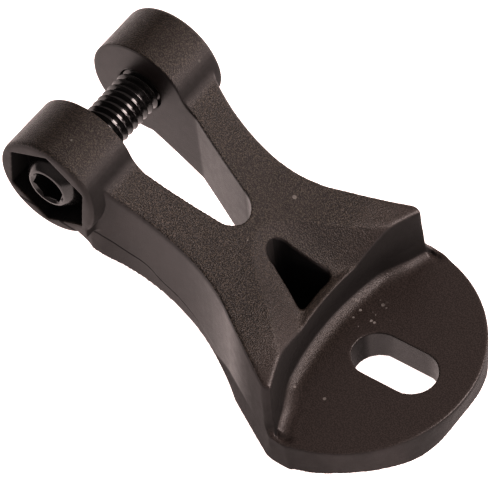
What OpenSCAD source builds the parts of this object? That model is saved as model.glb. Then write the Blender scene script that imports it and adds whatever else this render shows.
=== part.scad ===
// Forked clamp bracket: one plastic moulding with a slotted foot at one end and
// a two-eared fork at the other, closed by a cross screw and a thin nut.
//
// Frame: the origin is the middle of the foot slot on the foot's underside.
// +X runs from the fork to the rounded end of the foot, +Y to the nut side,
// +Z up out of the foot. The screw axis is parallel to Y. Millimetres.

/* [Show] */
// which sub-part to show

/* [Fork] */
// slot centre to screw axis, along the foot
axis_reach = 40; // [34:0.5:48]
// height of the screw axis over the underside
axis_h = 26.2; // [23:0.1:31]
// diameter of the two round ears
ear_d = 14.2; // [13.6:0.1:17]
// width of the ear on the head side, along the screw
ear_w = 8.4; // [7.2:0.1:10]
// width of the ear on the nut side
nut_ear_w = 7.6; // [6.6:0.1:9]
// clear gap between the ears
fork_gap = 10.3; // [8.5:0.1:12.3]
// rounding of each ear's outer rim
ear_rim_r = 0.7; // [0.2:0.1:0.7]
// rounding between the ears and the upper face of the arms
ear_root_r = 5; // [3:0.5:7]
// rounding between each ear and the outer side of its arm, seen from above
gusset_r = 2.2; // [1.5:0.1:3]
// how far the webs under the ears reach below the screw axis
gusset_drop = 5.3; // [4.6:0.1:6.4]

/* [Arms and body] */
// half the width of the body at its waist
waist_half = 9.2; // [8.2:0.1:11]
// waist to slot centre
waist_back = 23.8; // [21.5:0.1:26]
// sideways curve of the arms, from the waist to the ears
fork_waist_r = 23; // [20:1:30]
// sideways curve of the body, from the waist to the shoulders
foot_waist_r = 15; // [12:1:18]
// angle of the flare out to the shoulders
flare_angle = 30; // [26:1:33]
// lengthwise curve of the upper face
deck_r = 65; // [58:1:85]
// upper face below the screw axis, just behind the ears
deck_drop = 1.4; // [0.5:0.1:2]
// height of the upper face at the shoulders
shoulder_h = 13.6; // [11.5:0.1:16.5]
// lengthwise curve of the underside arch
arch_r = 95; // [80:1:120]
// slot centre to the heel, where the arch meets the flat underside
heel_back = 15.4; // [13.4:0.2:17]

/* [Opening between the arms] */
// rounding at the closed end
vee_end_r = 2.8; // [2.3:0.1:3.2]
// closed end's rounding centre to slot centre
vee_end_back = 23.6; // [23:0.1:26]
// taper of each side
vee_taper = 16; // [13:0.5:20]

/* [Foot] */
// thickness of the foot
foot_t = 4.7; // [3.9:0.1:5.7]
// radius of the foot's rounded end
foot_r = 17.5; // [16.6:0.1:19]
// slot centre back to the centre of that rounding
foot_back = 7.3; // [6.5:0.1:8]
// slot width, clears an M6 screw
slot_w = 6.6; // [6.3:0.1:7.9]
// slot length, end to end
slot_l = 11.6; // [9.6:0.1:13.8]
// slot centre to the step face, on the centre line
step_back = 9.7; // [9.3:0.1:10.1]
// curve of the step face, seen from above
step_r = 40; // [36:1:48]
// rounding at the root of the step
step_root_r = 3; // [1.5:0.1:3.6]

/* [Scoop and core pocket] */
// scoop floor's slope down towards the foot
scoop_slope = 43; // [40:1:46]
// rounding along the middle of the scoop floor
scoop_floor_r = 12; // [10:0.5:14]
// slope of the scoop's two sides
scoop_side = 25.5; // [20:0.5:30]
// the scoop's nose to the slot centre
scoop_nose_back = 19.1; // [18.2:0.1:19.4]
// height of the lip between scoop and step, in the middle
lip_h = 11; // [9.5:0.1:11.6]
// slope of the scoop's floor behind the lip
lip_slope = 3; // [1:1:10]
// pocket's rounded end to the slot centre
pocket_far_back = 17.7; // [17.3:0.1:18]
// pocket's straight end to the slot centre
pocket_near_back = 11.2; // [11:0.1:12]
// rounding of the pocket's narrow end
pocket_tip_r = 1.7; // [1.4:0.1:1.9]
// half width of the pocket's wide end
pocket_half = 3.2; // [2.8:0.1:3.6]

/* [Screw and nut] */
// thread diameter, M6
screw_d = 6; // [5.9:0.01:6]
// length under the head, M6 x 25
screw_l = 25; // [24:0.5:30]
// diameter of the domed head
head_d = 8.5; // [8:0.1:9.4]
// height of the domed head
head_h = 3.3; // [2.8:0.1:3.4]
// hexagon socket across flats
socket_af = 4; // [3.6:0.1:4.3]
// socket depth
socket_depth = 2; // [1.6:0.1:2.4]
// chamfer at the tip of the screw
tip_chamfer = 0.7; // [0.4:0.1:1]
// nut across flats
nut_af = 10; // [9.6:0.1:10.4]
// nut thickness
nut_h = 3.2; // [2.8:0.1:3.4]

/* [Clearances] */
// radial clearance of the screw in the ears' bores
bore_clear = 0.08; // [0.03:0.01:0.1]
// radial clearance of the nut's bore over the thread's crests
thread_clear = 0.04; // [0.02:0.01:0.1]
// clearance on each flat, hexagon pocket to nut
pocket_clear = 0.35; // [0.1:0.05:0.4]

/* [Hidden] */
$fn = 96;
eps = 0.02;
nip = 0.03; // curves that would only just touch cross by this much
far = 80;

ear_r = ear_d / 2;
cheek = fork_gap / 2;
ear_out = cheek + ear_w;
nut_out = cheek + nut_ear_w;
function side_out(s) = s < 0 ? ear_out : nut_out;
axis = [-axis_reach, axis_h];
waist_x = -waist_back;

// one of the two crossings of circle a (radius ra) and circle b (radius rb)
function crossing(a, ra, b, rb, side) =
    let (d = norm(b - a), u = (b - a) / d,
         t = (ra * ra - rb * rb + d * d) / (2 * d),
         h = sqrt(ra * ra - t * t))
    a + t * u + side * h * [-u[1], u[0]];

// upper face: a circle of air over the body, through a point behind the ears
// and one at the shoulders
deck_at_ears = axis + [ear_r + 3.1, -deck_drop];
deck_at_step = [-step_back + 1.5, shoulder_h];
deck_c = crossing(deck_at_ears, deck_r, deck_at_step, deck_r, 1);
// underside: a circle of air, through a point under the ears and the heel
heel = [-heel_back, 0];
arch_c = crossing(axis + [0.42 * ear_r, -1.15 * ear_r], arch_r, heel, arch_r, -1);
arch_touch = axis + (ear_r - 4 * nip) * [-0.07, -0.99];
// rounding between ear and upper face, tangent to both
root_c = crossing(axis, ear_r + ear_root_r, deck_c, deck_r - ear_root_r, -1);
root_dir = (root_c - deck_c) / norm(root_c - deck_c);
root_touch = deck_c + deck_r * root_dir;
root_end = root_touch + 0.3 * [-root_dir[1], root_dir[0]];
root_start = root_touch[0] - 1;

// outline, seen from above
flare_start = [waist_x + foot_waist_r * sin(flare_angle),
               waist_half + foot_waist_r * (1 - cos(flare_angle))];
flare_dir = [cos(flare_angle), sin(flare_angle)];
flare_edge = flare_start + nip * [-sin(flare_angle), cos(flare_angle)];
flare_rel = flare_edge - [-foot_back, 0];
flare_b = flare_rel * flare_dir;
flare_run = -flare_b + sqrt(flare_b * flare_b - flare_rel * flare_rel + foot_r * foot_r);
flare_mid = flare_edge + (flare_run - 1) * flare_dir;
flare_out = flare_edge + (flare_run + 3) * flare_dir;

// web beside each ear
gusset_x = axis[0] + 0.8 * ear_r;
gusset_cx = gusset_x + gusset_r;
arm_half_at_gusset = waist_half + fork_waist_r
    - sqrt(fork_waist_r * fork_waist_r - pow(gusset_cx - waist_x, 2));

// opening between the arms
vee_c = [-vee_end_back, 0];
vee_touch = vee_c + (vee_end_r - nip) * [sin(vee_taper), cos(vee_taper)];
vee_knee = vee_touch[0] - (cheek - vee_touch[1]) / tan(vee_taper);

// hexagon pockets, one flat turned towards the body
pocket_af = nut_af + 2 * pocket_clear;
pocket_depth = max(head_h, nut_h) + 0.1;
seat = ear_out - pocket_depth;
nut_seat = nut_out - pocket_depth;
hex_turn = 22;

function across_corners(af) = af / cos(30);

module along_y(len) rotate([90, 0, 0]) linear_extrude(len, center = true) children();

// ---- bracket ---------------------------------------------------------------

// everything the moulding fills, seen from the side
module side_solid() {
    along_y(far) difference() {
        polygon([axis, [root_start, root_touch[1]], [root_start, axis_h + 4],
                 [foot_r, axis_h + 4], [foot_r, 0],
                 [arch_touch[0], 0], arch_touch]);
        translate(deck_c) circle(deck_r, $fn = 360);
        translate(arch_c) circle(arch_r, $fn = 360);
    }
    along_y(far) difference() {
        polygon([axis, root_c, root_end, root_end - [0, 4]]);
        translate(root_c) circle(ear_root_r + nip);
    }
}

// arms, waist, flare and foot, seen from above
module top_view() {
    difference() {
        translate([arch_touch[0], -waist_half - 3])
            square([waist_x - arch_touch[0], 2 * waist_half + 6]);
        for (s = [-1, 1])
            translate([waist_x, s * (waist_half + fork_waist_r)]) circle(fork_waist_r, $fn = 180);
    }
    difference() {
        polygon([for (s = [-1, 1], p = s < 0
                    ? [[waist_x, waist_half + 1], flare_edge, flare_mid]
                    : [flare_mid, flare_edge, [waist_x, waist_half + 1]])
                    [p[0], s * p[1]]]);
        for (s = [-1, 1])
            translate([waist_x, s * (waist_half + foot_waist_r)]) circle(foot_waist_r, $fn = 180);
    }
    intersection() {
        translate([-foot_back, 0]) circle(foot_r, $fn = 180);
        polygon([for (s = [-1, 1], p = s < 0
                    ? [flare_mid, flare_out, [far, far]]
                    : [[far, far], flare_out, flare_mid])
                    [p[0], s * p[1]]]);
    }
}

// outline of the webs that carry the ears' outer ends
module gusset_view() {
    for (s = [-1, 1]) {
        difference() {
            translate([axis[0], s > 0 ? 0 : -arm_half_at_gusset - gusset_r])
                square([gusset_cx - axis[0], arm_half_at_gusset + gusset_r]);
            translate([gusset_cx, s * (arm_half_at_gusset + gusset_r - nip)]) circle(gusset_r);
        }
        translate([axis[0], s > 0 ? cheek : -ear_out])
            square([gusset_x + nip - axis[0], side_out(s) - cheek]);
    }
}

// one ear: a disc with its outer rim rounded, outer face towards +Z
module ear(w) {
    rotate_extrude() {
        square([ear_r, w - ear_rim_r]);
        square([ear_r - ear_rim_r, w]);
        translate([ear_r - ear_rim_r, w - ear_rim_r]) circle(ear_rim_r, $fn = 32);
    }
}

// the air over the foot: a drum with a rounded lower edge
module step_air() {
    translate([step_r - step_back, 0, foot_t]) rotate_extrude($fn = 360) {
        square([step_r - step_root_r, far]);
        translate([0, step_root_r]) square([step_r, far - step_root_r]);
        translate([step_r - step_root_r, step_root_r]) circle(step_root_r, $fn = 48);
    }
}

// the scoop: a shallow rounded vee running down to the foot, stopped by the
// sloping face behind the lip
module scoop() {
    deck_nose = deck_c[1] - sqrt(deck_r * deck_r - pow(-scoop_nose_back - deck_c[0], 2));
    intersection() {
        translate([-scoop_nose_back, 0, deck_nose])
            rotate([0, 90 + scoop_slope, 0])
                linear_extrude(60, center = true) {
                    translate([-scoop_floor_r, 0]) circle(scoop_floor_r, $fn = 180);
                    polygon([
                        [-scoop_floor_r * (1 - cos(scoop_side)), scoop_floor_r * sin(scoop_side)],
                        [-scoop_floor_r * (1 - cos(scoop_side)) - 14 * sin(scoop_side),
                         scoop_floor_r * sin(scoop_side) + 14 * cos(scoop_side)],
                        [-30, 0],
                        [-scoop_floor_r * (1 - cos(scoop_side)) - 14 * sin(scoop_side),
                         -scoop_floor_r * sin(scoop_side) - 14 * cos(scoop_side)],
                        [-scoop_floor_r * (1 - cos(scoop_side)), -scoop_floor_r * sin(scoop_side)]]);
                }
        translate([-step_back, 0, lip_h]) rotate([0, -lip_slope, 0])
            translate([-50, -far / 2, 0]) cube([80, far, 40]);
    }
}

// blind core pocket in the scoop floor
module core_pocket() {
    tip = -pocket_far_back + pocket_tip_r;
    translate([0, 0, foot_t]) linear_extrude(far) {
        translate([tip, 0]) circle(pocket_tip_r);
        polygon([[tip, -pocket_tip_r], [-pocket_near_back, -pocket_half],
                 [-pocket_near_back, pocket_half], [tip, pocket_tip_r]]);
    }
}

module bracket() color([0.13, 0.12, 0.12]) difference() {
    union() {
        intersection() {
            translate([0, 0, -1]) linear_extrude(far) top_view();
            side_solid();
        }
        intersection() {
            translate([0, 0, axis_h - gusset_drop]) linear_extrude(far) gusset_view();
            side_solid();
        }
        for (s = [-1, 1])
            translate([axis[0], s * cheek, axis_h]) rotate([-s * 90, 0, 0])
                ear(side_out(s) - cheek);
    }
    // between the arms
    translate([0, 0, -1]) linear_extrude(far) {
        polygon([[-far, -cheek], [vee_knee, -cheek], [vee_touch[0], -vee_touch[1]],
                 [vee_touch[0], vee_touch[1]], [vee_knee, cheek], [-far, cheek]]);
        translate(vee_c) circle(vee_end_r);
    }
    step_air();
    scoop();
    core_pocket();
    // slot
    translate([0, 0, -1]) linear_extrude(foot_t + 2) {
        square([slot_l - slot_w, slot_w], center = true);
        for (s = [-1, 1]) translate([s * (slot_l - slot_w) / 2, 0]) circle(slot_w / 2);
    }
    // bores and hexagon pockets
    translate([axis[0], 0, axis_h]) rotate([90, 0, 0]) {
        cylinder(h = 3 * ear_out, r = screw_d / 2 + bore_clear, center = true);
        for (s = [0, 1]) mirror([0, 0, s]) translate([0, 0, s > 0 ? nut_seat : seat])
            rotate([0, 0, hex_turn]) cylinder(h = ear_w, d = across_corners(pocket_af), $fn = 6);
    }
}

// ---- screw and nut ---------------------------------------------------------

// drawn with its axis on Z and the underside of its head at z = 0
module clamp_screw() color([0.07, 0.07, 0.08])
    translate([axis[0], -seat, axis_h]) rotate([-90, 0, 0]) difference() {
        union() {
            rotate_extrude() intersection() {
                circle(head_d / 2);
                translate([0, -head_h]) square([head_d, head_h]);
            }
            translate([0, 0, -eps]) cylinder(h = screw_l - tip_chamfer + eps, d = screw_d);
            translate([0, 0, screw_l - tip_chamfer])
                cylinder(h = tip_chamfer, d1 = screw_d, d2 = screw_d - 2 * tip_chamfer);
        }
        translate([0, 0, -head_h - 1]) rotate([0, 0, hex_turn])
            cylinder(h = socket_depth + 1, d = across_corners(socket_af), $fn = 6);
    }

module clamp_nut() color([0.3, 0.3, 0.31])
    translate([axis[0], nut_seat, axis_h]) rotate([-90, 0, 0]) difference() {
        intersection() {
            rotate([0, 0, -hex_turn]) cylinder(h = nut_h, d = across_corners(nut_af), $fn = 6);
            // both ends chamfered to a circle
            union() {
                cylinder(h = 0.5, d1 = 0.95 * nut_af, d2 = across_corners(nut_af) + 0.1);
                translate([0, 0, 0.5]) cylinder(h = nut_h - 1, d = across_corners(nut_af) + 0.1);
                translate([0, 0, nut_h - 0.5])
                    cylinder(h = 0.5, d1 = across_corners(nut_af) + 0.1, d2 = 0.95 * nut_af);
            }
        }
        translate([0, 0, -1]) cylinder(h = nut_h + 2, r = screw_d / 2 + thread_clear);
    }

bracket();
clamp_screw();
clamp_nut();
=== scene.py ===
# %% [markdown]
# # A forked clamp bracket
# One moulding of glass-filled nylon, a domed socket screw and a thin nut. The packed
# model comes in as a fixed frame: three pieces, in metres, each with its place in
# its mesh. Everything below is shaped to that frame and never moves it.

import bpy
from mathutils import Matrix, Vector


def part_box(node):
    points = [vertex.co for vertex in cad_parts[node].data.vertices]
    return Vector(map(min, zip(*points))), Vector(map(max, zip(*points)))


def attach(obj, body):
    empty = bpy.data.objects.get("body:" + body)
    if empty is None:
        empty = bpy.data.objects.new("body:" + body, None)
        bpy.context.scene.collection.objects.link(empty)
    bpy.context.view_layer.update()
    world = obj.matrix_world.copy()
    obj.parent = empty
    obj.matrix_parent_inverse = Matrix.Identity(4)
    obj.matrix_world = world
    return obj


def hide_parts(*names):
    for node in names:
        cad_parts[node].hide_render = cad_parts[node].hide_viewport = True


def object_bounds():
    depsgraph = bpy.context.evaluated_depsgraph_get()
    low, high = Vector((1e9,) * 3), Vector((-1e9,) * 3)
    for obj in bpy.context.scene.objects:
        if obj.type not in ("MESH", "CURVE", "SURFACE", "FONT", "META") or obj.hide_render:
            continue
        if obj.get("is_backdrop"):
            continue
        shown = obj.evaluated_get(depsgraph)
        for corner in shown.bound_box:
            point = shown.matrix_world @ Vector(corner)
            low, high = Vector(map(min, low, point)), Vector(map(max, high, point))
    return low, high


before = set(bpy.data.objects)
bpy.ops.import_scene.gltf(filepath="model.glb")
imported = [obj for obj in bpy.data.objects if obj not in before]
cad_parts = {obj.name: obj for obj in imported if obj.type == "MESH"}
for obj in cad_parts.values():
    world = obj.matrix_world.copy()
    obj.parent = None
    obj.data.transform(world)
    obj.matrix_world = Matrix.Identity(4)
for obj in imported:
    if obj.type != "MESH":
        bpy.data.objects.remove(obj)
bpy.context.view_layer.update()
print("nodes:", sorted(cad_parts))

# %% Names used all through
import math
import bpy
import numpy as np
from mathutils import Matrix, Vector

MM = 0.001
screw_low, screw_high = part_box("clamp_screw")
nut_low, nut_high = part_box("clamp_nut")
AXIS_X = (screw_low.x + screw_high.x) / 2
AXIS_Z = (screw_low.z + screw_high.z) / 2
HEAD_TOP_Y, TIP_Y = screw_low.y, screw_high.y
MERGE = 2e-6       # points nearer than this are one point, in metres
FOOT_TOP = 4.7     # height of the foot's upper face; this and the rest are in mm
FOOT_X = -7.3      # middle of the foot's rounded end
FOOT_R = 17.5      # and its radius
STEP_ARC_X = 30.3  # the step's face, seen from above, is an arc round this place
STEP_ARC_R = 40.0  # with this radius
print("screw axis at x", round(AXIS_X / MM, 2), "z", round(AXIS_Z / MM, 2), "mm")


def mm(*values):
    return Vector(values) * MM


def deselect():
    """Nothing selected and nothing active, because operators act on all that is selected."""
    if bpy.context.object and bpy.context.object.mode != "OBJECT":
        bpy.ops.object.mode_set(mode="OBJECT")
    bpy.ops.object.select_all(action="DESELECT")
    bpy.context.view_layer.objects.active = None


def pick(obj):
    deselect()
    obj.select_set(True)
    bpy.context.view_layer.objects.active = obj
    return obj


def settle(obj, name):
    """Puts a finished piece's place into its mesh, so that its object sits at the origin."""
    pick(obj)
    bpy.ops.object.transform_apply(location=True, rotation=True, scale=True)
    obj.name = obj.data.name = name
    return obj


def apply_modifier(obj, kind, **settings):
    pick(obj)
    modifier = obj.modifiers.new(kind.lower(), kind)
    for key, value in settings.items():
        setattr(modifier, key, value)
    bpy.ops.object.modifier_apply(modifier=modifier.name)


def cut(obj, cutter, operation="DIFFERENCE"):
    """Boolean with a cutter that is thrown away afterwards."""
    apply_modifier(obj, "BOOLEAN", operation=operation, object=cutter, solver="EXACT")
    bpy.data.objects.remove(cutter, do_unlink=True)


# %% [markdown]
# A turned or threaded piece starts as half of its outline. Such a line is drawn as by
# hand, by extruding one point from place to place, and is then wound round an axis.

# %% Chains of points
def chain(points):
    """A line of edges drawn by extruding one point along the given places, in mm."""
    deselect()
    bpy.ops.mesh.primitive_plane_add(size=0.002, location=(0, 0, 0))
    line = bpy.context.object
    bpy.ops.object.mode_set(mode="EDIT")
    bpy.ops.mesh.select_all(action="SELECT")
    bpy.ops.mesh.merge(type="CENTER")
    bpy.ops.transform.translate(value=mm(*points[0]))
    for before, after in zip(points, points[1:]):
        step = mm(*after) - mm(*before)
        bpy.ops.mesh.extrude_region_move(TRANSFORM_OT_translate={"value": step})
    bpy.ops.object.mode_set(mode="OBJECT")
    return line


def lathe(points, steps=96):
    """Turns a chain drawn in x and z round the z axis and closes it."""
    body = chain([(x, 0, z) for x, z in points])
    apply_modifier(body, "SCREW", angle=2 * math.pi, steps=steps, render_steps=steps,
                   screw_offset=0, use_merge_vertices=True, merge_threshold=MERGE)
    pick(body)
    bpy.ops.object.mode_set(mode="EDIT")
    bpy.ops.mesh.select_all(action="SELECT")
    bpy.ops.mesh.remove_doubles(threshold=MERGE)
    bpy.ops.mesh.normals_make_consistent(inside=False)
    bpy.ops.object.mode_set(mode="OBJECT")
    return body


print("chain and lathe are ready, points nearer than", MERGE, "m are merged")

# %% [markdown]
# ## Camera
# The bracket is under 60 mm long, so it is looked at from far off through a long lens,
# which keeps its lines nearly parallel. The camera stands high on the screw head's side.

# %% Camera
camera_data = bpy.data.cameras.new("camera")
camera = bpy.data.objects.new("camera", camera_data)
bpy.context.scene.collection.objects.link(camera)
CAMERA_PLACE = mm(158.254, -203.172, 344.601)
CAMERA_TURN = (39.16604, 4.66264, 35.71739)
camera_data.sensor_width = 36
camera_data.lens = 253.55
camera_data.clip_start, camera_data.clip_end = 0.01, 10
camera.location = CAMERA_PLACE
camera.rotation_euler = [math.radians(angle) for angle in CAMERA_TURN]
bpy.context.scene.camera = camera
print("camera is", round(camera.location.length, 3), "m from the foot")

# %% [markdown]
# ## Floor and light
# Small black mouldings are usually shown on a white sheet with light all round and low
# down: the upright walls and hollow corners then mirror the bright sheet, and the faces
# that look up stay dark. A floor that gives light itself does this better than lamps do.
# The world stays dim, a little less so overhead, and one soft lamp adds a direction.

# %% White sheet
WARM = (1.24, 1.04, 1.0, 1)
bpy.context.scene.view_settings.view_transform = "Standard"
bpy.context.scene.view_settings.look = "Medium High Contrast"
deselect()
bpy.ops.mesh.primitive_plane_add(size=4, location=(0, 0, 0))
floor = bpy.context.object
floor.name = "floor"
floor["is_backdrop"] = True
sheet = bpy.data.materials.new("white_sheet")
sheet.use_nodes = True
shader = sheet.node_tree.nodes["Principled BSDF"]
shader.inputs["Base Color"].default_value = (0.8, 0.8, 0.8, 1)
shader.inputs["Roughness"].default_value = 0.9
shader.inputs["Specular IOR Level"].default_value = 0.1
shader.inputs["Emission Color"].default_value = WARM
shader.inputs["Emission Strength"].default_value = 1.0
floor.data.materials.append(sheet)
print("floor:", floor.name, "with", sheet.name)

# %% World and lamp
OVERHEAD, HORIZON = 0.36, 0.12     # brightness of the world, as parts of WARM
world = bpy.data.worlds.new("studio")
bpy.context.scene.world = world
world.use_nodes = True
nodes, links = world.node_tree.nodes, world.node_tree.links
place = nodes.new("ShaderNodeTexCoord")
split = nodes.new("ShaderNodeSeparateXYZ")
rise = nodes.new("ShaderNodeValToRGB")
rise.color_ramp.interpolation = "EASE"
rise.color_ramp.elements[0].position = 0.12
rise.color_ramp.elements[0].color = [HORIZON * c for c in WARM[:3]] + [1]
rise.color_ramp.elements[1].position = 0.62
rise.color_ramp.elements[1].color = [OVERHEAD * c for c in WARM[:3]] + [1]
links.new(place.outputs["Generated"], split.inputs[0])
links.new(split.outputs["Z"], rise.inputs["Fac"])
links.new(rise.outputs["Color"], nodes["Background"].inputs["Color"])


def soft_lamp(name, place, aim, size, power):
    data = bpy.data.lights.new(name, "AREA")
    data.shape, data.size, data.energy = "DISK", size, power
    lamp = bpy.data.objects.new(name, data)
    bpy.context.scene.collection.objects.link(lamp)
    data.color = WARM[:3]
    lamp.location = place
    lamp.rotation_euler = (Vector(aim) - Vector(place)).to_track_quat("-Z", "Y").to_euler()


soft_lamp("window", place=(0.38, 0.27, 0.31), aim=(-0.02, 0, 0.01), size=0.3, power=3.5)
print("one lamp and a graded world")

# %% [markdown]
# ## The moulding
# An injection moulding has no sharp outer corners: its walls lean out by a few degrees so
# that it leaves the tool, and every edge that the cutter could reach is rounded. The CAD
# solid has the right faces but sharp edges. Bevels along so many crossing curved faces
# would tear, so a copy is remeshed as fine clay instead, leaned and rounded there, more
# where the real edge is softer, and thinned again at the end.

# %% A copy of the CAD moulding, merged
cad_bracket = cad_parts["bracket"]
deselect()
moulding = cad_bracket.copy()
moulding.data = cad_bracket.data.copy()
moulding.parent = None
moulding.matrix_world = Matrix.Identity(4)
bpy.context.scene.collection.objects.link(moulding)
pick(moulding)
bpy.ops.object.mode_set(mode="EDIT")
bpy.ops.mesh.select_all(action="SELECT")
bpy.ops.mesh.remove_doubles(threshold=MERGE)
bpy.ops.object.mode_set(mode="OBJECT")
moulding.data.materials.clear()
print("merged copy:", len(moulding.data.polygons), "triangles")

# %% [markdown]
# ### Shoulders
# The two shoulders end in upright rounded corners. Each is cut by a corner block with a
# round pillar taken out of it: the pillar is what stays of the shoulder.

# %% Round the shoulders
SHOULDER_R = 2.3                  # the shoulder's upright corner
SHOULDER_X, SHOULDER_Y = -7.75, 14.08
ROOT_R = 1.9                      # the hollow between an upright wall and the foot
ABOVE_FOOT = 0.02                 # the block stays just clear of the foot's face


def corner_block(side):
    """A block outside one shoulder, in mm, with the shoulder's own pillar cut out of it."""
    centre = Vector((SHOULDER_X, side * SHOULDER_Y))
    out_flare = Vector((-0.5, side * 0.866))
    out_step = Vector((0.93, side * 0.37))
    tip = centre + 8 * (out_flare + out_step).normalized()
    outline = [centre, centre + 5 * out_flare, tip + 2 * out_flare, tip + 2 * out_step,
               centre + 7 * out_step]
    deselect()
    bpy.ops.mesh.primitive_circle_add(vertices=len(outline), fill_type="NGON",
                                      location=mm(0, 0, FOOT_TOP + ABOVE_FOOT))
    block = bpy.context.object
    for vertex, point in zip(block.data.vertices, outline):
        vertex.co = mm(point.x, point.y, 0)
    bpy.ops.object.mode_set(mode="EDIT")
    bpy.ops.mesh.select_all(action="SELECT")
    bpy.ops.mesh.extrude_region_move(TRANSFORM_OT_translate={"value": (0, 0, 14 * MM)})
    bpy.ops.mesh.select_all(action="SELECT")
    bpy.ops.mesh.normals_make_consistent(inside=False)
    bpy.ops.object.mode_set(mode="OBJECT")
    sweep = [math.radians(a) for a in range(0, 91, 10)]
    hollow = [(SHOULDER_R + ROOT_R * (1 - math.sin(a)), FOOT_TOP + ROOT_R * (1 - math.cos(a)))
              for a in sweep]
    pillar = lathe([(0, 3), (SHOULDER_R + ROOT_R, 3)] + hollow + [(SHOULDER_R, 25), (0, 25)])
    pillar.location = mm(centre.x, centre.y, 0)
    cut(block, pillar)
    return block


for side in (-1, 1):
    cut(moulding, corner_block(side))
print("shoulders rounded:", len(moulding.data.polygons), "faces")

# %% [markdown]
# A voxel remesh turns the solid into even small squares, whatever its faces were before,
# so that every later move of points bends it like clay and tears nothing.

# %% Remesh it as fine clay
CLAY = 0.15
apply_modifier(moulding, "REMESH", mode="VOXEL", voxel_size=CLAY * MM, adaptivity=0)
print("clay:", len(moulding.data.vertices), "points")

# %% [markdown]
# ### Lean and trim
# Below the upper face the outer walls lean out by three degrees. The foot's lower edge
# draws in again, most at its tip. Both are small moves of the clay's points, worked out
# from where each point is.

# %% Points as an array
def points_of(obj):
    """All points of a mesh in mm, one row each."""
    co = np.empty(len(obj.data.vertices) * 3)
    obj.data.vertices.foreach_get("co", co)
    return co.reshape(-1, 3) / MM


def put_points(obj, co):
    obj.data.vertices.foreach_set("co", (co * MM).ravel())
    obj.data.update()


def ramp(value, start, end):
    """Rises smoothly from 0 to 1 between start and end."""
    t = np.clip((value - start) / (end - start), 0, 1)
    return t * t * (3 - 2 * t)


def step_face(y):
    """The x of the step's face at the foot, which is an arc seen from above."""
    return STEP_ARC_X - np.sqrt(STEP_ARC_R ** 2 - np.clip(y, -17, 17) ** 2)


co = points_of(moulding)
print("points:", len(co), "the step's face is at x", round(float(step_face(0.0)), 2), "mm")

# %% [markdown]
# The body's outline is followed by stations measured along it and rounded: at each x,
# half the width of the body and the height of the upper face's edge. They only steer
# where the walls lean and where edges are softened, so they need not be exact.

# %% Lean the outer walls
WALL_X = [-34, -31.9, -29.4, -27.8, -26, -24.4, -22.7, -20.8, -19.2,
          -17.6, -16.1, -14.5, -12.9, -11.3, -9.7, -8, -6.5, -5]
WALL_HALF = [11.1, 10.4, 9.65, 9.3, 9.05, 8.95, 9.0, 9.25, 9.75,
             10.45, 11.25, 12.15, 13.05, 13.95, 14.9, 15.7, 16.55, 17.2]
DECK_Z = [29, 27.2, 24.5, 23.4, 22.1, 21.1, 20.0, 18.9, 17.8,
          17.0, 16.2, 15.5, 14.9, 14.4, 13.9, 13.5, 13.2, 12.9]
DRAFT = 3.2       # degrees
WIDEST = 17.4     # nothing may stand out further than this, so as to stay in the CAD's box
x, y, z = co.T
inside = np.abs(y) / np.interp(x, WALL_X, WALL_HALF)
share = ramp(inside, 0.62, 0.93) * ramp(x, -36.5, -33.5) * (1 - ramp(x, -5.5, -3))
lean = math.tan(math.radians(DRAFT)) * np.clip(np.interp(x, WALL_X, DECK_Z) - z, 0, 14)
co[:, 1] += np.sign(y) * share * lean
print("the walls lean out by up to", round(float((share * lean).max()), 2), "mm")

# %% Hold the foot's corners back
CORNER_X = [-14, -13.1, -12, -10.9, -9.8, -8.7, -7.5, -6.4, -5.2, -4, -3]
CORNER_HALF = [13.8, 14.0, 14.8, 15.6, 16.2, 16.7, 17.05, 17.25, 17.3, 17.3, 17.3]
most = np.interp(x, CORNER_X, CORNER_HALF) + 0.05 * np.clip(z, 0, 5)
near_foot = (x > -13) & (x < -3.2) & (z < FOOT_TOP + 0.5)
co[:, 1] = np.where(near_foot & (np.abs(co[:, 1]) > most), np.sign(y) * most, co[:, 1])
co[:, 1] = np.clip(co[:, 1], -WIDEST, WIDEST)
print("widest place:", round(float(np.abs(co[:, 1]).max()), 2), "mm from the middle")

# %% Draw in the foot's lower edge
ANGLES = [0, 5, 10, 17, 24, 30, 40, 51, 60, 69, 79, 100]
LOW_R = [16.64, 16.7, 16.88, 17.19, 17.4, 17.4, 17.17, 17.03, 17.1, 17.39, 17.5, 17.5]
DRAWN_BELOW = 4.2
x, y, z = co.T
reach = np.hypot(x - FOOT_X, y)
angle = np.degrees(np.arctan2(np.abs(y), x - FOOT_X))
low = np.clip((DRAWN_BELOW - z) / DRAWN_BELOW, 0, 1)
pull = (FOOT_R - np.interp(angle, ANGLES, LOW_R)) * low
pull *= ramp(reach, 14.2, 17.2) * ramp(x, -8.5, -5.5)
scale = 1 - pull / np.maximum(reach, 1)
co[:, 0] = (x - FOOT_X) * scale + FOOT_X
co[:, 1] = y * scale
print("the foot's lower edge is drawn in by up to", round(float(pull.max()), 2), "mm")

# %% Tighten the hollow at the foot of the step
CAD_HOLLOW_R = 3.0
LEAN_BACK = 0.7   # how far the foot of the step's wall goes back


def hollow_height(out, radius):
    """Height of a quarter round hollow, at so many mm out from its wall."""
    rest = radius - np.clip(out, 0, radius)
    return FOOT_TOP + radius - np.sqrt(np.clip(radius ** 2 - rest ** 2, 0, 9))


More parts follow.
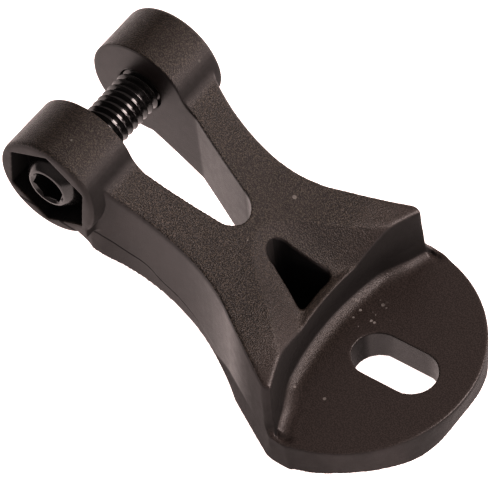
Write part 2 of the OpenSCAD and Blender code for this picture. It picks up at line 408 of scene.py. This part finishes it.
x, y, z = co.T
out = x - step_face(y)
was = hollow_height(out, CAD_HOLLOW_R)
now = hollow_height(out, ROOT_R)
on_hollow = (out > 0.02) & (out < 3.2) & (z > 4.3) & (z < was + 0.35) & (np.abs(y) < 16.8)
co[:, 2] -= np.where(on_hollow, (was - now) * ramp(out, 0, 0.2), 0)
x, y, z = co.T
back = ramp(x, -11.1, -10.4) * (1 - ramp(x, -7.6, -6.2))
back *= (1 - ramp(z, 5.5, 10.5)) * ramp(z, 3.0, 4.4)
co[:, 0] -= LEAN_BACK * back * (1 - ramp(np.abs(y), 9, 14))
put_points(moulding, co)
print("points moved at the hollow:", int(on_hollow.sum()))

# %% [markdown]
# ### Round the edges
# Smoothing pulls every edge in to a small radius. A weight on each point says how much
# more it gets: the long edges of the upper face and the shoulders are the softest, the
# lip and the far rim of the scoop come next, and the hexagon pockets stay crisp.

# %% Weights for the soft edges
def around(spread, *offsets):
    """A soft ball or tube of weight: 1 where every offset is 0, fading over the spread."""
    return np.exp(-sum(offset ** 2 for offset in offsets) / (2 * spread ** 2))


x, y, z = co.T
side = np.abs(y)
half = np.interp(x, WALL_X, WALL_HALF)
deck = np.interp(x, WALL_X, DECK_Z)
edge = around(1.1, side - half, z - deck) * ramp(x, -33.5, -31)
crown = around(1.3, x - step_face(y)) * (0.3 + 0.7 * ramp(side, 8.6, 11)) * ramp(z, 8.5, 10.6)
rim = around(0.8, np.hypot(x - FOOT_X, y) - 17.4, z - FOOT_TOP) * ramp(x, -6, -4)
corner = around(1.0, x + 11.5, side - 3.0, z - 11)
tips = around(1.7, x + 6.8, side - 15.6, z - 13.2)
soft = np.clip(edge + 1.2 * crown + 0.35 * rim + 1.2 * corner + 1.3 * tips, 0, 1)
LEVELS = 10
group = moulding.vertex_groups.new(name="soft_edges")
for level in range(1, LEVELS + 1):
    chosen = np.nonzero(np.round(soft * LEVELS) == level)[0]
    group.add(chosen.tolist(), level / LEVELS, "REPLACE")
print("soft points:", int((soft > 0.05).sum()))

# %% Round the edges
apply_modifier(moulding, "SMOOTH", factor=0.5, iterations=52, vertex_group="soft_edges")
apply_modifier(moulding, "SMOOTH", factor=0.5, iterations=5)
print("edges rounded:", len(moulding.data.vertices), "points")

# %% [markdown]
# ### Parting line
# Under the ears the two halves of the tool meet in a line that runs down the side walls
# and fades out towards the foot. The lower half of the tool is a hair smaller, so the
# wall steps in below the line.

# %% Step in below the parting line
PART_X = [-35.2, -34.2, -33.6, -32.8, -31.3, -28.7, -27.0, -25.0, -22.3, -20.0, -17.5]
PART_Z = [20.4, 20.1, 19.6, 18.9, 17.5, 15.4, 13.3, 11.6, 8.9, 6.6, 4.6]
PART_STEP = 0.05
co = points_of(moulding)
x, y, z = co.T
below = np.interp(x, PART_X, PART_Z) - z
wall = ramp(np.abs(y) / np.interp(x, WALL_X, WALL_HALF), 0.75, 0.95)
fade = ramp(x, -36.5, -35.5) * (1 - ramp(x, -22, -18))
co[:, 1] -= np.sign(y) * PART_STEP * ramp(below, -0.12, 0.12) * wall * fade
put_points(moulding, co)
print("stepped in by", PART_STEP, "mm below the line")

# %% [markdown]
# The clay has far more faces than it needs. They are thinned where it is nearly flat,
# and the finished moulding takes the place of the plain one.

# %% Thin it and shade it smooth
MOST_FACES = 190000
faces = len(moulding.data.polygons) * 2
apply_modifier(moulding, "DECIMATE", ratio=min(1.0, MOST_FACES / faces),
               use_collapse_triangulate=True)
settle(moulding, "moulding")
bpy.ops.object.shade_smooth()
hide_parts("bracket")
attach(moulding, "bracket")
print("moulding:", len(moulding.data.polygons), "triangles")

# %% [markdown]
# ## The screw
# An M6 screw has one 60 degree groove that climbs 1 mm a turn. Its outline over one turn
# is drawn as a chain of points and wound round the axis by the screw modifier, so crest,
# flank and root come out right. The head is a turned dome, so it is spun.

# %% A hexagonal bar
HEAD_H = 3.3
SEAT_Y = HEAD_TOP_Y + HEAD_H * MM
HEX_TURN = 22     # degrees, so that the nut's flats lie along its pocket's


def prism(flats, low, high, turn):
    """An upright hexagonal prism, in mm, its corners turned by so many degrees."""
    deselect()
    bpy.ops.mesh.primitive_cylinder_add(
        vertices=6, radius=flats / math.sqrt(3) * MM, depth=(high - low) * MM,
        location=mm(0, 0, (low + high) / 2))
    body = bpy.context.object
    body.rotation_euler = (0, 0, math.radians(turn))
    bpy.ops.object.transform_apply(location=True, rotation=True, scale=True)
    return body


print("the screw's head seats at y", round(SEAT_Y / MM, 2), "mm")

# %% Wind the thread
CREST, ROOT = 2.97, 2.39     # radii of the thread
PITCH = 1.0
WORN = CREST - 0.04          # where the crest's rounding starts
GRIP = (TIP_Y - SEAT_Y) / MM
TURNS = int(GRIP) + 3
thread = chain([(ROOT, 0, 0), (ROOT, 0, 0.12), (WORN, 0, 0.43), (CREST, 0, 0.47),
                (CREST, 0, 0.55), (WORN, 0, 0.59), (ROOT, 0, 0.9), (ROOT, 0, PITCH)])
apply_modifier(thread, "SCREW", angle=2 * math.pi, screw_offset=PITCH * MM, iterations=TURNS,
               steps=72, render_steps=72, use_merge_vertices=False)
pick(thread)
bpy.ops.object.mode_set(mode="EDIT")
bpy.ops.mesh.select_all(action="SELECT")
bpy.ops.mesh.remove_doubles(threshold=MERGE)
bpy.ops.transform.translate(value=mm(0, 0, -1.5))
for height, keep_above in ((-0.5, True), (GRIP + 0.3, False)):
    bpy.ops.mesh.select_all(action="SELECT")
    bpy.ops.mesh.bisect(plane_co=mm(0, 0, height), plane_no=(0, 0, 1), use_fill=True,
                        clear_inner=keep_above, clear_outer=not keep_above)
bpy.ops.mesh.select_all(action="SELECT")
bpy.ops.mesh.normals_make_consistent(inside=False)
bpy.ops.object.mode_set(mode="OBJECT")
envelope = lathe([(0, -0.4), (3.2, -0.4), (3.2, GRIP - 0.85), (2.3, GRIP), (0, GRIP)], 72)
cut(thread, envelope, "INTERSECT")
print("thread:", len(thread.data.polygons), "faces over", TURNS, "turns")

# %% Turn the head
HEAD_R = 4.25
SOCKET_FLATS, SOCKET_FLOOR = 4, -1.3
sweep = [math.radians(3 + 45.5 * i / 14) for i in range(15)]
dome = [(HEAD_R * math.cos(a), -HEAD_R * math.sin(a)) for a in sweep]
underside = [(0, 0), (4.05, 0), (4.2, -0.06)]
crown_flat = [(2.74, -3.25), (2.6, -HEAD_H), (2.36, -HEAD_H), (0, -HEAD_H)]
socket_mouth = [(0, -3.6), (2.62, -3.6), (2.44, -HEAD_H), (2.1, -2.98), (0, -2.98)]
screw = lathe(underside + dome + crown_flat)
cut(screw, lathe(socket_mouth))
cut(screw, prism(SOCKET_FLATS, -4, SOCKET_FLOOR, HEX_TURN))
cut(screw, thread, "UNION")
screw.location = (AXIS_X, SEAT_Y, AXIS_Z)
screw.rotation_euler = (math.radians(-90), 0, 0)
settle(screw, "domed_screw")
bpy.ops.object.shade_smooth_by_angle(angle=math.radians(28))
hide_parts("clamp_screw")
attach(screw, "screw")
print("screw:", len(screw.data.polygons), "faces")

# %% [markdown]
# ## The nut
# A thin hexagon nut is a slice of hexagonal bar, its corners turned off on both faces by
# a cone, with a bore that opens slightly at each end. It sits in the far ear's pocket.

# %% Slice, turn and bore the nut
THICK = (nut_high.y - nut_low.y) / MM
NUT_FLATS, BORE_R = 10, 3.05
nut = prism(NUT_FLATS, 0, THICK, -HEX_TURN)
disc = lathe([(0, 0), (4.75, 0), (5.8, 0.55), (5.8, THICK - 0.55), (4.75, THICK), (0, THICK)])
cut(nut, disc, "INTERSECT")
bore = lathe([(0, -0.5), (3.7, -0.5), (3.35, 0), (BORE_R, 0.3), (BORE_R, THICK - 0.3),
              (3.35, THICK), (3.7, THICK + 0.5), (0, THICK + 0.5)])
cut(nut, bore)
nut.location = (AXIS_X, nut_low.y, AXIS_Z)
nut.rotation_euler = (math.radians(-90), 0, 0)
settle(nut, "thin_nut")
bpy.ops.object.shade_smooth_by_angle(angle=math.radians(28))
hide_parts("clamp_nut")
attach(nut, "nut")
print("nut:", len(nut.data.polygons), "faces, thick", round(THICK, 2), "mm")

# %% [markdown]
# ## Finishes
# Effects that more than one finish needs are kept in shader node groups. Each takes the
# object's own coordinates and gives back a mask or a height: fine grain, dust specks and
# the parting line.

# %% Node group helpers
def new_group(name, takes, gives):
    tree = bpy.data.node_groups.new(name, "ShaderNodeTree")
    for label, kind in takes:
        tree.interface.new_socket(label, in_out="INPUT", socket_type=kind)
    for label, kind in gives:
        tree.interface.new_socket(label, in_out="OUTPUT", socket_type=kind)
    return tree, tree.nodes.new("NodeGroupInput"), tree.nodes.new("NodeGroupOutput")


def node(tree, kind, settings=None, **values):
    made = tree.nodes.new(kind)
    for key, value in (settings or {}).items():
        setattr(made, key, value)
    for key, value in values.items():
        made.inputs[key.replace("_", " ")].default_value = value
    return made


def maths(tree, operation, first, second=None, clamp=False):
    made = tree.nodes.new("ShaderNodeMath")
    made.operation, made.use_clamp = operation, clamp
    for socket, value in zip(made.inputs, (first, second)):
        if value is None:
            continue
        if isinstance(value, (int, float)):
            socket.default_value = value
        else:
            tree.links.new(value, socket)
    return made.outputs[0]


def smooth_step(tree, value, low, high, to_low=0.0, to_high=1.0):
    made = tree.nodes.new("ShaderNodeMapRange")
    made.interpolation_type = "SMOOTHSTEP"
    tree.links.new(value, made.inputs["Value"])
    for key, number in (("From Min", low), ("From Max", high), ("To Min", to_low), ("To Max", to_high)):
        made.inputs[key].default_value = number
    return made.outputs["Result"]


def within(tree, value, middle, reach):
    """1 where the value is less than reach away from the middle, else 0."""
    away = maths(tree, "ABSOLUTE", maths(tree, "SUBTRACT", value, middle))
    return maths(tree, "LESS_THAN", away, reach)


VECTOR, FLOAT = "NodeSocketVector", "NodeSocketFloat"
print("sockets are of kind", VECTOR, "and", FLOAT)

# %% Fine grain
grain, taken, given = new_group("fine_grain", [("Vector", VECTOR), ("Scale", FLOAT)],
                                [("Fine", FLOAT), ("Cloudy", FLOAT)])
for label, factor, detail in (("Fine", 1.0, 3.0), ("Cloudy", 0.09, 4.0)):
    noise = node(grain, "ShaderNodeTexNoise", Detail=detail, Roughness=0.6)
    grain.links.new(taken.outputs["Vector"], noise.inputs["Vector"])
    grain.links.new(maths(grain, "MULTIPLY", taken.outputs["Scale"], factor), noise.inputs["Scale"])
    grain.links.new(noise.outputs["Fac"], given.inputs[label])
print(grain.name, "gives", [socket.name for socket in given.inputs if socket.name])

# %% Dust specks
BARE = 0.55     # this part of all cells holds no speck
dust, taken, given = new_group("dust_specks", [("Vector", VECTOR), ("Scale", FLOAT), ("Size", FLOAT)],
                               [("Mask", FLOAT)])
cells = node(dust, "ShaderNodeTexVoronoi", {"feature": "F1"}, Randomness=1.0)
dust.links.new(taken.outputs["Vector"], cells.inputs["Vector"])
dust.links.new(taken.outputs["Scale"], cells.inputs["Scale"])
rarely = node(dust, "ShaderNodeSeparateColor")
dust.links.new(cells.outputs["Color"], rarely.inputs["Color"])
reach = maths(dust, "MULTIPLY", taken.outputs["Size"], rarely.outputs["Green"])
near = maths(dust, "LESS_THAN", cells.outputs["Distance"], reach)
some = maths(dust, "GREATER_THAN", rarely.outputs["Red"], BARE)
dust.links.new(maths(dust, "MULTIPLY", near, some), given.inputs["Mask"])
print(dust.name, "gives", [socket.name for socket in given.inputs if socket.name])

# %% Parting line
CURVE_X, CURVE_LONG, CURVE_HIGH = 36, 20, 24     # the curve node's own range, in mm
parting, taken, given = new_group("parting_line", [("Vector", VECTOR)], [("Line", FLOAT)])
axes = node(parting, "ShaderNodeSeparateXYZ")
parting.links.new(taken.outputs["Vector"], axes.inputs[0])
course = parting.nodes.new("ShaderNodeFloatCurve")
curve = course.mapping.curves[0]
spots = [((px + CURVE_X) / CURVE_LONG, pz / CURVE_HIGH) for px, pz in zip(PART_X, PART_Z)]
curve.points[0].location, curve.points[1].location = spots[0], spots[-1]
for spot in spots[1:-1]:
    curve.points.new(*spot)
course.mapping.update()
along = maths(parting, "ADD", axes.outputs["X"], CURVE_X * MM)
along = maths(parting, "DIVIDE", along, CURVE_LONG * MM)
parting.links.new(along, course.inputs["Value"])
height = maths(parting, "MULTIPLY", course.outputs["Value"], CURVE_HIGH * MM)
gap = maths(parting, "SUBTRACT", axes.outputs["Z"], height)
sides = smooth_step(parting, maths(parting, "ABSOLUTE", axes.outputs["Y"]), 8.2 * MM, 8.9 * MM)
fading = smooth_step(parting, axes.outputs["X"], -24 * MM, -20 * MM, 1.0, 0.0)
there = maths(parting, "MULTIPLY", sides, fading)
line = smooth_step(parting, maths(parting, "ABSOLUTE", gap), 0.1 * MM, 0.24 * MM, 1.0, 0.0)
parting.links.new(maths(parting, "MULTIPLY", line, there), given.inputs["Line"])
print("groups:", sorted(g.name for g in bpy.data.node_groups))

# %% [markdown]
# Glass-filled nylon is a warm grey black. Faces that look up are speckled and carry
# painted light: they are painted lighter than the walls, and towards the fork they are
# browner and lighter still, partly grain and partly painted highlight. Light dust sits
# on those. The walls are smoother and greyer.

# %% Helpers for materials
def group_node(tree, group, vector, **values):
    made = tree.nodes.new("ShaderNodeGroup")
    made.node_tree = group
    tree.links.new(vector, made.inputs["Vector"])
    for key, value in values.items():
        made.inputs[key].default_value = value
    return made


def mixed(tree, factor, first, second):
    """The first colour where the factor is 0, the second where it is 1."""
    made = tree.nodes.new("ShaderNodeMix")
    made.data_type = "RGBA"
    for socket, value in ((made.inputs[0], factor), (made.inputs[6], first), (made.inputs[7], second)):
        if isinstance(value, (int, float, tuple)):
            socket.default_value = value
        else:
            tree.links.new(value, socket)
    return made.outputs[2]


nylon = bpy.data.materials.new("warm_black_nylon")
nylon.use_nodes = True
tree = nylon.node_tree
surface = tree.nodes["Principled BSDF"]
print("material:", nylon.name)

# %% Patterns and places on the moulding
coords = tree.nodes.new("ShaderNodeTexCoord")
centred = node(tree, "ShaderNodeMapping", Location=(0.018, 0, -0.012))
tree.links.new(coords.outputs["Object"], centred.inputs["Vector"])
fine = group_node(tree, grain, centred.outputs["Vector"], Scale=5600.0)
coarse = group_node(tree, grain, centred.outputs["Vector"], Scale=900.0)
specks = group_node(tree, dust, centred.outputs["Vector"], Scale=260.0, Size=0.1)
scuffs = group_node(tree, dust, centred.outputs["Vector"], Scale=1500.0, Size=0.4)
seam = group_node(tree, parting, coords.outputs["Object"])
facing = node(tree, "ShaderNodeSeparateXYZ")
tree.links.new(coords.outputs["Normal"], facing.inputs[0])
at = node(tree, "ShaderNodeSeparateXYZ")
tree.links.new(coords.outputs["Object"], at.inputs[0])
far_out = maths(tree, "ABSOLUTE", at.outputs["Y"])
upper = smooth_step(tree, facing.outputs["Z"], 0.35, 0.8)
not_upper = maths(tree, "SUBTRACT", 1.0, upper)
ahead = smooth_step(tree, facing.outputs["X"], 0.75, 0.95)
foot_side = smooth_step(tree, at.outputs["X"], -14 * MM, -6 * MM, 1.0, 0.12)
# Upper faces towards the fork: stronger grain, and a browner painted highlight.
grainy_lit_upper = maths(tree, "MULTIPLY", upper, foot_side)
print("patterns:", [made.node_tree.name for made in (fine, coarse, specks, scuffs, seam)])

# %% [markdown]
# Two places see almost no light: the blind core pocket in the scoop, and the hexagon
# pockets round the screw. Each is found from its place, and is painted nearly black. The
# paint stands in for shade that this even light doesn't give, and isn't in the plastic.

# %% Where it is deep
POCKET_X, POCKET_Z, MOUTH_SLOPE = -14.3, 12, 0.931
SUNK_R = 6.35
mouth = maths(tree, "MULTIPLY", at.outputs["X"], MOUTH_SLOPE)
mouth = maths(tree, "ADD", at.outputs["Z"], mouth)
core = maths(tree, "MULTIPLY", maths(tree, "LESS_THAN", far_out, 3.6 * MM),
             within(tree, at.outputs["X"], POCKET_X * MM, 3.3 * MM))
core = maths(tree, "MULTIPLY", within(tree, at.outputs["Z"], POCKET_Z * MM, 7.5 * MM), core)
core = maths(tree, "MULTIPLY", smooth_step(tree, mouth, -0.2 * MM, 0.25 * MM, 1.0, 0.0), core)
from_x = maths(tree, "POWER", maths(tree, "SUBTRACT", at.outputs["X"], AXIS_X), 2.0)
from_z = maths(tree, "POWER", maths(tree, "SUBTRACT", at.outputs["Z"], AXIS_Z), 2.0)
off_axis = maths(tree, "SQRT", maths(tree, "ADD", from_x, from_z))
sunk = maths(tree, "MULTIPLY", maths(tree, "LESS_THAN", off_axis, SUNK_R * MM),
             within(tree, far_out, 10.9 * MM, 2.4 * MM))
deep = maths(tree, "MAXIMUM", core, sunk)
print("deep places within", SUNK_R, "mm of the screw, and round x", POCKET_X, "mm")

# %% [markdown]
# The colour is laid on in layers: cloudy walls, speckled upper faces painted lighter as
# painted light, the parting line, dust and scuffs. Last comes another shade that is
# painted: upright faces that look ahead, to the foot's tip, are tinted darker, because
# the light alone leaves them light.

# %% Colour of the nylon
WALL_DARK, WALL_LIGHT = (0.012, 0.010, 0.0095, 1), (0.018, 0.0145, 0.014, 1)
# Upper faces are painted lighter than the walls as painted light; the brown one adds a painted
# highlight towards the fork.
UPPER_LIT_PLAIN, UPPER_LIT_BROWN = (0.036, 0.029, 0.027, 1), (0.046, 0.037, 0.028, 1)
PIT, SEAM, HOLE = (0.004, 0.003, 0.002, 1), (0.004, 0.004, 0.004, 1), (0.001, 0.001, 0.001, 1)
DUST, SCUFF = (0.3, 0.29, 0.27, 1), (0.35, 0.34, 0.32, 1)
AHEAD_DARK = (0.002, 0.0015, 0.0012, 1)
SCUFF_PLACE = mm(-6.9, 4.4, FOOT_TOP)
pits = smooth_step(tree, fine.outputs["Fine"], 0.46, 0.62)
plain = mixed(tree, grainy_lit_upper, UPPER_LIT_PLAIN, UPPER_LIT_BROWN)
clouds = smooth_step(tree, coarse.outputs["Cloudy"], 0.35, 0.65)
tint = mixed(tree, clouds, WALL_DARK, WALL_LIGHT)
smoother = maths(tree, "MULTIPLY", maths(tree, "SUBTRACT", 1.0, foot_side), 0.6)
covered = maths(tree, "ADD", pits, smoother, clamp=True)
tint = mixed(tree, upper, tint, mixed(tree, covered, PIT, plain))
tint = mixed(tree, maths(tree, "MULTIPLY", seam.outputs["Line"], 0.75), tint, SEAM)
settled = maths(tree, "MULTIPLY", specks.outputs["Mask"], maths(tree, "MULTIPLY", upper, 0.35))
tint = mixed(tree, settled, tint, DUST)
from_slot = node(tree, "ShaderNodeVectorMath", {"operation": "DISTANCE"})
tree.links.new(coords.outputs["Object"], from_slot.inputs[0])
from_slot.inputs[1].default_value = SCUFF_PLACE
beside = smooth_step(tree, from_slot.outputs["Value"], 1.2 * MM, 3.4 * MM, 0.5, 0.0)
tint = mixed(tree, maths(tree, "MULTIPLY", scuffs.outputs["Mask"], beside), tint, SCUFF)
tint = mixed(tree, maths(tree, "MULTIPLY", ahead, 0.85), tint, AHEAD_DARK)
tint = mixed(tree, deep, tint, HOLE)
tree.links.new(tint, surface.inputs["Base Color"])
print("scuffs round", [round(value / MM, 1) for value in SCUFF_PLACE], "mm")

# %% [markdown]
# The sheen changes from place to place, and at grazing angles the nylon mirrors the
# white sheet. Where the real wall is duller, low on the foot, on the flared sides, under
# the ears and on faces that look ahead, it is made rougher.

# %% Sheen of the nylon
low_wall = smooth_step(tree, at.outputs["Z"], 4.3 * MM, 5.2 * MM, 1.0, 0.0)
low_wall = maths(tree, "MULTIPLY", low_wall, not_upper)
outer = maths(tree, "MAXIMUM", maths(tree, "GREATER_THAN", at.outputs["X"], 6.5 * MM),
              maths(tree, "GREATER_THAN", far_out, 5 * MM))
low_wall = maths(tree, "MULTIPLY", low_wall, outer)
flare = maths(tree, "MULTIPLY", smooth_step(tree, at.outputs["X"], -16 * MM, -9.5 * MM),
              smooth_step(tree, far_out, 11 * MM, 13 * MM))
flare = maths(tree, "MULTIPLY", flare, not_upper)
under_ear = smooth_step(tree, at.outputs["X"], -34 * MM, -28 * MM, 0.5, 0.0)
under_ear = maths(tree, "MULTIPLY", under_ear, not_upper)
under_ear = maths(tree, "MULTIPLY", under_ear, maths(tree, "GREATER_THAN", far_out, 7.5 * MM))
dull = maths(tree, "MAXIMUM", maths(tree, "MAXIMUM", low_wall, flare),
             maths(tree, "MAXIMUM", ahead, under_ear))
rough = smooth_step(tree, coarse.outputs["Fine"], 0.3, 0.7, 0.35, 0.41)
rough = maths(tree, "ADD", rough, maths(tree, "MULTIPLY", deep, 0.5))
rough = maths(tree, "ADD", rough, maths(tree, "MULTIPLY", seam.outputs["Line"], 0.5))
rough = maths(tree, "ADD", rough, maths(tree, "MULTIPLY", dull, 0.4), clamp=True)
tree.links.new(rough, surface.inputs["Roughness"])
surface.inputs["Specular IOR Level"].default_value = 0.32
print("sheen: specular level", round(surface.inputs["Specular IOR Level"].default_value, 2))

# %% Grain of the nylon
bump = node(tree, "ShaderNodeBump", Strength=1.0, Distance=0.00016)
amount = maths(tree, "ADD", maths(tree, "MULTIPLY", grainy_lit_upper, 0.9), 0.1)
height = maths(tree, "MULTIPLY", fine.outputs["Fine"], amount)
tree.links.new(height, bump.inputs["Height"])
tree.links.new(bump.outputs["Normal"], surface.inputs["Normal"])
moulding.data.materials.append(nylon)
print("nylon:", len(tree.nodes), "nodes")

# %% [markdown]
# The screw and the nut are black oxide steel: a very thin dark skin on bright metal, so it
# stays nearly black and shows sharp highlights on the crests.

# %% Black steel
def black_steel(name, base, rough_low, rough_high):
    """Oxide over steel: the base colour doubles where the skin is worn."""
    made = bpy.data.materials.new(name)
    made.use_nodes = True
    tree = made.node_tree
    surface = tree.nodes["Principled BSDF"]
    coords = tree.nodes.new("ShaderNodeTexCoord")
    centred = node(tree, "ShaderNodeMapping", Location=(-AXIS_X, 0, -AXIS_Z))
    tree.links.new(coords.outputs["Object"], centred.inputs["Vector"])
    fine = group_node(tree, grain, centred.outputs["Vector"], Scale=2500.0)
    worn = smooth_step(tree, fine.outputs["Cloudy"], 0.35, 0.7)
    bright = tuple(2 * c for c in base[:3]) + (1,)
    tree.links.new(mixed(tree, worn, base, bright), surface.inputs["Base Color"])
    rough = smooth_step(tree, fine.outputs["Fine"], 0.3, 0.7, rough_low, rough_high)
    tree.links.new(rough, surface.inputs["Roughness"])
    bump = node(tree, "ShaderNodeBump", Strength=0.15, Distance=0.00002)
    tree.links.new(fine.outputs["Fine"], bump.inputs["Height"])
    tree.links.new(bump.outputs["Normal"], surface.inputs["Normal"])
    return made


OXIDE = (0.006, 0.006, 0.006, 1)
screw.data.materials.clear()
screw.data.materials.append(black_steel("screw_black", OXIDE, 0.16, 0.26))
nut.data.materials.clear()
nut.data.materials.append(black_steel("nut_black", OXIDE, 0.3, 0.45))
print("finishes:", sorted(m.name for m in bpy.data.materials))

# %% [markdown]
# ## Bounds
# The box round all that is shown, the floor left out, is worked out.

# %% Bounds of the scene
low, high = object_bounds()
